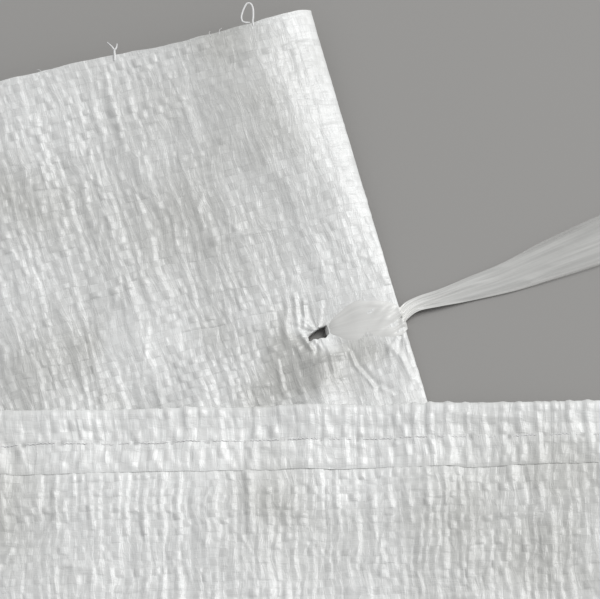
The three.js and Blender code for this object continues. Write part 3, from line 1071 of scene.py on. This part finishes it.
def filmMaterial():
    material, tree = newMaterial("clear_film")
    run, across = mapPlace(tree, "film")
    inside = ((0.5 - abs(across - 0.5)) * 5).atMost(1)
    gathered = (1 - abs(run - film["gripRun"]) * 22).atLeast(0)
    # on the cloth it's as white as the cloth, and over the floor it's seen through
    free = ((run - film["gripRun"]) * 6 - 0.1).atLeast(0).atMost(1)
    lengthwise = noiseAt(tree, combine(tree, run * 9, across * 11), 1, 3)
    bands = noiseAt(tree, combine(tree, run * 3, across * 6), 1, 2)
    crumple = noiseAt(tree, objectPlace(tree), 260, 3)
    # the gathered film is painted whiter, a painted highlight of its crinkles
    light = 0.88 + (bands - 0.5) * 0.25 + (lengthwise - 0.5) * 0.28 + gathered * 0.24 + free * 0.05
    # its edges on the cloth are painted lighter, painted light against the shade along its outline
    light = light + (1 - inside) * (1 - free) * 0.08
    seenThrough = film["clear"] - (bands - 0.5) * 0.5 - (lengthwise - 0.5) * 0.25 + (1 - inside) * 0.45
    return finishMaterial(material, {
        "Base Color": shaded(tree, film["tone"], light),
        "Roughness": film["roughness"] + (lengthwise - 0.5) * 0.15,
        "Alpha": 1 - free * seenThrough,
        "Normal": bumpFrom(tree, lengthwise * 0.8 + crumple * (gathered * 2 + 0.8), 0.00004),
        "IOR": 1.5,
    })


# Lengthwise folds of a gathered strip: s runs along it, t across
def pleats(s, t, gathered, loose, seed):
    values = np.random.default_rng(seed)
    a, b, c, d = values.uniform(0, 2 * math.pi, 4)
    broad = np.cos(2 * math.pi * (1.6 * t + 0.5 * np.sin(2.3 * s + a)) + b)
    swing = 0.45 * np.sin(5 * s + c) + 0.2 * np.sin(17 * s + 5 * t)
    fine = 1 - 2 * np.abs(np.sin(math.pi * (3.3 * t + swing) + d))
    finer = np.cos(2 * math.pi * (6.1 * t + 0.5 * np.sin(9 * s + b + 4 * t)) + c)
    return loose * broad + gathered * (0.7 * fine + 0.3 * finer)


# A strip between two edges; its map has metres along the strip by shares across it
def ribbon(name, left, right, count, around, height, material, firstRun=0):
    left, right = curve(left, count + 1), curve(right, count + 1)
    length = runAlong(left)[-1]

    def places(s, t):
        k = np.rint(s * count).astype(int)
        place = left[k] * (1 - t)[:, None] + right[k] * t[:, None]
        place[:, 2] += height(s, t, place)
        place[:, 2] = np.maximum(place[:, 2], 0.05 * mm)
        return place

    bm = bmesh.new()
    bm.loops.layers.uv.new("film")
    gridOn(bm, count, around, places)
    layer = bm.loops.layers.uv["film"]
    for face in bm.faces:
        for corner in face.loops:
            corner[layer].uv.x = firstRun + corner[layer].uv.x * length / film["mapLength"]
    bmesh.ops.recalc_face_normals(bm, faces=bm.faces)
    bmesh.ops.solidify(bm, geom=bm.faces, thickness=film["thickness"])
    for vert in bm.verts:
        vert.co.z = max(vert.co.z, 0.03 * mm)
    return addPiece(meshFrom(name, bm), material, "tie_film")


# Places that far over the first panel's outside
def overCloth(across, along, height):
    return onCloth(across, along, bag["skin"] + height + 0 * across, 1)


def makeTie(material):
    tail = np.array(film["tail"]) * mm
    left, right = tail[:, [0, 1, 4]], tail[:, [2, 3, 4]]

    def tailHeight(s, t, place):
        size = film["tailFolds"]
        tight = size["gripped"] * np.exp(-s / 0.09) + size["pleats"]
        folds = pleats(3 * s, t, tight, size["broad"] * smoothStep(s, 0, 0.2) + 0.1, 4)
        curled = size["curl"] * (2 * np.abs(t - 0.5)) ** 6 * smoothStep(s, 0.05, 0.3)
        return mm * (folds + curled + 0.35 * smoothStep(s, 0.02, 0.2))

    tailPiece = ribbon("tie_tail", left, right, 280, 38, tailHeight, material, film["gripRun"])

    loop = np.array(film["loop"]) * mm
    under = np.array(film["underside"]) * mm
    edges = []
    for x, y in ((0, 1), (2, 3)):
        top = overCloth(loop[:, x], loop[:, y], 0.2 * mm)
        top[:, 2] += loop[:, 4]
        floor = placeFlat(under[:, x], under[:, y], np.zeros(len(under)))
        floor[:, 2] = under[:, 4]
        edges.append(np.concatenate([top, floor]))

    def loopHeight(s, t, place):
        grip = bell(s - 0.48, 0.11)
        out = smoothStep(s, 0.02, 0.1) * smoothStep(s, 0.62, 0.55)
        fromHole = np.exp(-s / 0.12) * np.cos(2 * math.pi * (2.6 * t + 0.3 * np.sin(9 * s + 7 * t)))
        cosine, sine = math.cos(film["foldSlant"]), math.sin(film["foldSlant"])
        beside = place[:, 1] * cosine - place[:, 0] * sine
        onward = place[:, 0] * cosine + place[:, 1] * sine
        crushed = waveField(beside, onward, 46, 30, 0.0013, 0.004, 4)
        soft = waveField(place[:, 0], place[:, 1], 47, 12, 0.006, 0.014)
        crease = bell(t - 0.34 + 0.45 * s, 0.035) * smoothStep(s, 0.42, 0.3)
        toEdge = 2 * np.abs(t - 0.5)
        size = film["loopFolds"]
        folds = size["crushed"] * grip * (1 - toEdge ** 4) * (crushed + 1) + size["soft"] * soft
        folds = folds + size["crease"] * crease + size["hole"] * fromHole
        return mm * (folds * out + size["edge"] * toEdge ** 5 * smoothStep(s, 0.54, 0.46))

    loopPiece = ribbon("tie_loop", *edges, 210, 46, loopHeight, material)


# The sewing thread: two plies, a stitch between each needle hole and the next, on both faces of the hem
thread = {
    "plyRadius": 0.00018,
    "twistRadius": 0.00013,
    "twistLength": 0.0024,
    "tone": (0.94, 0.94, 0.93, 1),
    "end": 176,
    "depth": 1.17,  # how far below the cloth it goes down at a needle hole
    "underLength": 649,  # along the cloth on the hem's lower face
}


def threadMaterial():
    material, tree = newMaterial("sewing_thread")
    fibres = noiseAt(tree, objectPlace(tree), 1500, 3)
    dark = tuple(0.85 * part for part in thread["tone"][:3])
    return finishMaterial(material, {
        "Base Color": mixColour(tree, fibres, (*dark, 1), thread["tone"]),
        "Roughness": 0.5,
        "Normal": bumpFrom(tree, fibres, 0.00006),
        "Sheen Weight": 0.3,
        "Subsurface Weight": 0.6,
        "Subsurface Radius": (1, 1, 1),
        "Subsurface Scale": 0.0005,
    })


def threadLine(length):
    pitch, first = details["stitchPitch"], details["firstStitch"]
    last = first - (details["stitchCount"] - 1) * pitch
    across = np.arange(-thread["end"], thread["end"] + 0.01, 0.3)
    step = (first - across) / pitch
    inside = (across >= last) & (across <= first)
    arch = np.abs(np.sin(math.pi * step))
    values = np.random.default_rng(31)
    slack = np.interp(step, np.arange(-2, 36), values.uniform(0.5, 1.5, 38))
    stitch = np.minimum(1, arch * 3) * 0.9 - thread["depth"] + 0.1 * arch * slack
    height = np.where(inside, stitch, 0.1 + 0.1 * arch)
    sway = np.interp(step, np.arange(-2, 36, 0.5), values.normal(0, 0.22, 76))
    places = across * mm
    along = (length + sway * arch) * mm
    return overCloth(places, along, (0.2 + height) * mm)


def makeThread(material):
    bm = bmesh.new()
    for length in (details["stitchLength"], thread["underLength"]):
        middle = threadLine(length)
        run = runAlong(middle)
        for ply in (0, math.pi):
            turn = 2 * math.pi * run / thread["twistLength"] + ply
            shift = np.stack([0 * turn, np.cos(turn), 0.5 * np.sin(turn)], axis=-1) * thread["twistRadius"]
            strand(bm, middle + shift, (thread["plyRadius"], thread["plyRadius"]))
    return addPiece(meshFrom("hem_stitches", bm), material, "hem_thread")


# Loose fibres at the cut mouth: a loop of tape filament, a forked fray and a few whiskers. Each is a line of
# points in millimetres: across, how far out past the cut edge, and height over that edge.
fibres = {
    "lines": [  # the radii at both ends, then the points
        ((0.32, 0.28), [
            (159.5, -2, -0.3), (159.7, 0.1, 0.1), (160.2, 1.4, 0.4), (160.8, 3.9, 0.6), (160.6, 5.6, 0.6),
            (159.6, 6.1, 0.5), (158.2, 4.7, 0.3), (157, 2.7, 0.2), (156.8, 1.1, 0.2), (157.6, 0.3, 0.3),
            (159, 0, 0.3)]),
        ((0.42, 0.36), [(118.0, -1.9, -0.2), (118.4, -0.5, 0.1), (118.6, 0.7, 0.4), (118.8, 1.6, 0.5)]),
        ((0.34, 0.14), [(118.8, 1.3, 0.5), (118.3, 2.8, 0.5), (117.4, 4.5, 0.4)]),
        ((0.32, 0.14), [(118.8, 1.3, 0.5), (119.6, 2.2, 0.6), (120.1, 3.5, 0.4)]),
        ((0.13, 0.07), [(149.4, -1, 0), (149.7, 0.2, 0.1), (150.6, 0.7, 0.2)]),
        ((0.13, 0.07), [(146.9, -1, 0), (146.6, 0.2, 0.1), (147.1, 0.8, 0.1)]),
        ((0.13, 0.07), [(97.0, -1, 0), (96.4, 0.3, 0.1), (95.5, 0.8, 0.1)]),
        ((0.13, 0.07), [(60.2, -1, 0), (60.8, 0.3, 0.2), (61.9, 0.8, 0.1)]),
        ((0.16, 0.08), [(-40.2, -1, 0), (-39.4, 1.6, 0.2), (-38.4, 3.2, 0.1), (-39.6, 4.6, 0.2)]),
    ],
}


def makeFibres(material):
    bm = bmesh.new()
    for radii, line in fibres["lines"]:
        across, out, height = (np.array(curve(line, 40)) * mm).T
        sag = edgeSag(across)
        places = placeFlat(across, sag - out, np.zeros_like(across))
        places[:, 2] = overCloth(across, sag, 0)[:, 2] + height
        strand(bm, places, tuple(radius * mm for radius in radii))
    return addPiece(meshFrom("loose_fibres", bm), material, "woven_bag")


makeTie(filmMaterial())
print("tie made")

# The cloth in lengths, each with its rows and then its tapes: the weave is modelled where they have lines,
# fine where it is seen
panel = weave["panelTapes"]
firstPlain, secondPlain, secondWoven = (0, panel, 0), (panel, 2 * panel, 0), (panel, 2 * panel, 3)
clothLengths = {
    "bag_mouth": ([(-1.5, 0, 0), (0, 28, 5)], [(0, 91, 2), (91, panel, 5), secondPlain]),
    "bag_tie_end": (
        [(28, 37, 4), (37, 52, 6), (52, 55, 4)],
        [(0, 91, 2), (91, 118, 5), (118, panel, 8), secondPlain]),
    "bag_lower": ([(55, 140, 2)], [(0, 26, 2), (26, panel, 0), secondPlain]),
    "bag_fold": ([(140, 184, 2)], [firstPlain, secondWoven]),
    "bag_upper": ([(184, 240, 2)], [firstPlain, secondWoven]),
    "bag_hem_front": ([(240, 243, 3), (243, 263, 5)], [firstPlain, (panel, 220, 5), (220, 2 * panel, 3)]),
    "bag_hem": ([(263, 273, 5), (273, 274.5, 0)], [(0, 64, 3), (64, panel, 5), secondPlain]),
}


def makeCloth(material):
    for name, (rows, tapes) in clothLengths.items():
        holed = name == "bag_tie_end"
        mesh = tubeGrid(name, tapes, rows, holed)

        def woven(u):
            return np.any([(u > start - foldReach) & (u < stop + foldReach)
                           for start, stop, perTape in tapes if perTape], axis=0)

        layCloth(mesh, woven)
        closeCloth(mesh, holed)
        piece = addPiece(mesh, material, "woven_bag")
        size = float(rowPlace(rows[-1][1]) - rowPlace(rows[0][0]))
        mesh.calc_loop_triangles()
        print(name, len(mesh.loop_triangles), "triangles")


makeCloth(clothMaterial())
makeThread(threadMaterial())
makeFibres(threadMaterial())
print("thread and fibres made")

# Floor and light
studio = {
    "floorTone": (0.345, 0.338, 0.325, 1),
    "floorSize": 6,
    "keyFrom": (0.60, 0.38, 0.70),
    "keyDistance": 3.0,
    "keySize": 2.2,
    "keyPower": 61,
    "skyTone": (0.96, 0.965, 0.985, 1),
    "skyPower": 0.45,
}


def makeStudio():
    bm = bmesh.new()
    bmesh.ops.create_grid(bm, x_segments=1, y_segments=1, size=studio["floorSize"] / 2)
    mesh = meshFrom("floor", bm)
    floor = addObject("floor", mesh)
    material, tree = newMaterial("floor")
    cloud = noiseAt(tree, objectPlace(tree), 3, 2)
    dark = tuple(0.94 * part for part in studio["floorTone"][:3])
    tone = mixColour(tree, cloud, (*dark, 1), studio["floorTone"])
    mesh.materials.append(finishMaterial(material, {"Base Color": tone, "Roughness": 0.6}))

    key = bpy.data.lights.new("key", "AREA")
    key.shape, key.size, key.energy = "DISK", studio["keySize"], studio["keyPower"]
    aim(addObject("key", key), Vector(studio["keyFrom"]).normalized(), studio["keyDistance"])

    world = bpy.data.worlds.new("studio")
    world.use_nodes = True
    sky = world.node_tree.nodes["Background"]
    sky.inputs["Color"].default_value = studio["skyTone"]
    sky.inputs["Strength"].default_value = studio["skyPower"]
    bpy.context.scene.world = world
    bpy.context.scene.view_settings.view_transform = "Standard"


makeStudio()
